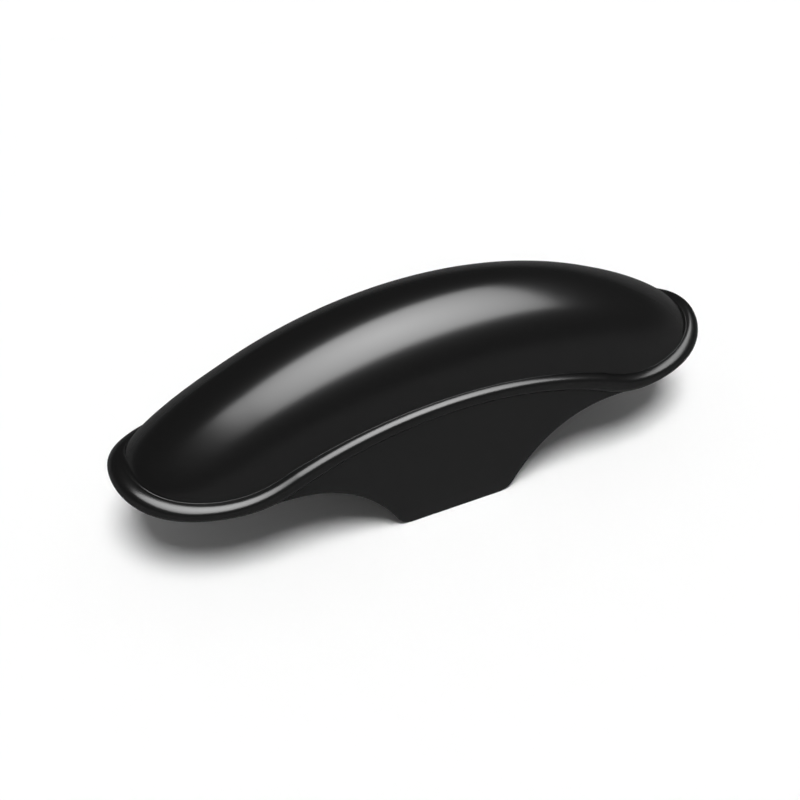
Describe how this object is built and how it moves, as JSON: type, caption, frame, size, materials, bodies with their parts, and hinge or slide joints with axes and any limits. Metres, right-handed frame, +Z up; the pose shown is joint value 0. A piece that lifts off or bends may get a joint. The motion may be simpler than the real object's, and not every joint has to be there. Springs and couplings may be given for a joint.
{
  "type": "motorcycle front fender",
  "caption": "Short arched front fender with a rounded crown, a bead formed round its border and flat side plates that fix to the fork legs.",
  "frame": {"origin": "on the ground under the middle of the crown, level with the bottom edges of the side plates", "axes": "+X along the wheel, +Y across it towards the left side plate, +Z up"},
  "size_m": [0.4578, 0.126, 0.1585],
  "materials": {
    "shell": "satin black, smooth moulded skin"
  },
  "bodies": {
    "root": {"fender": "shell"}
  },
  "joints": []
}
